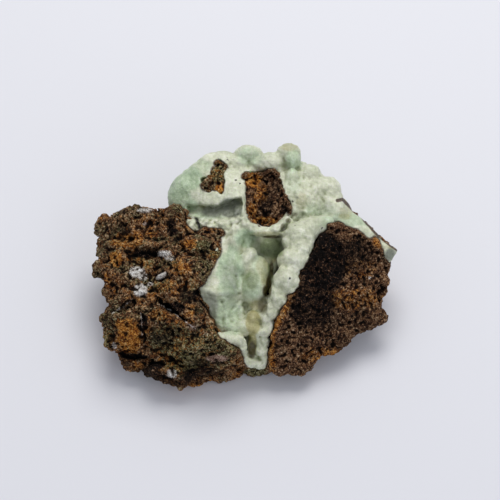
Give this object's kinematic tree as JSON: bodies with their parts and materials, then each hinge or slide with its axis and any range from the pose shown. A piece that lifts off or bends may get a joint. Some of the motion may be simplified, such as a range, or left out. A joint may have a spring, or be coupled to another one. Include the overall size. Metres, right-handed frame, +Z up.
{
  "type": "aragonite specimen",
  "caption": "Mineral hand specimen: pale green botryoidal aragonite lining and doming over a broken block of brown limonite, resting on its flat underside.",
  "frame": {"origin": "on the surface that the specimen rests on, under the middle of its box", "axes": "+Z up, +X along the specimen's longest way, -Y towards the side that the valley opens on"},
  "size_m": [0.081, 0.0666, 0.0342],
  "materials": {
    "limonite": "rough earthy fracture, matte brown with dark and rusty patches",
    "aragonite": "waxy translucent botryoidal crust, pale mint green to white"
  },
  "bodies": {
    "root": {"limonite_matrix": "limonite", "aragonite_crust": "aragonite"}
  },
  "joints": []
}
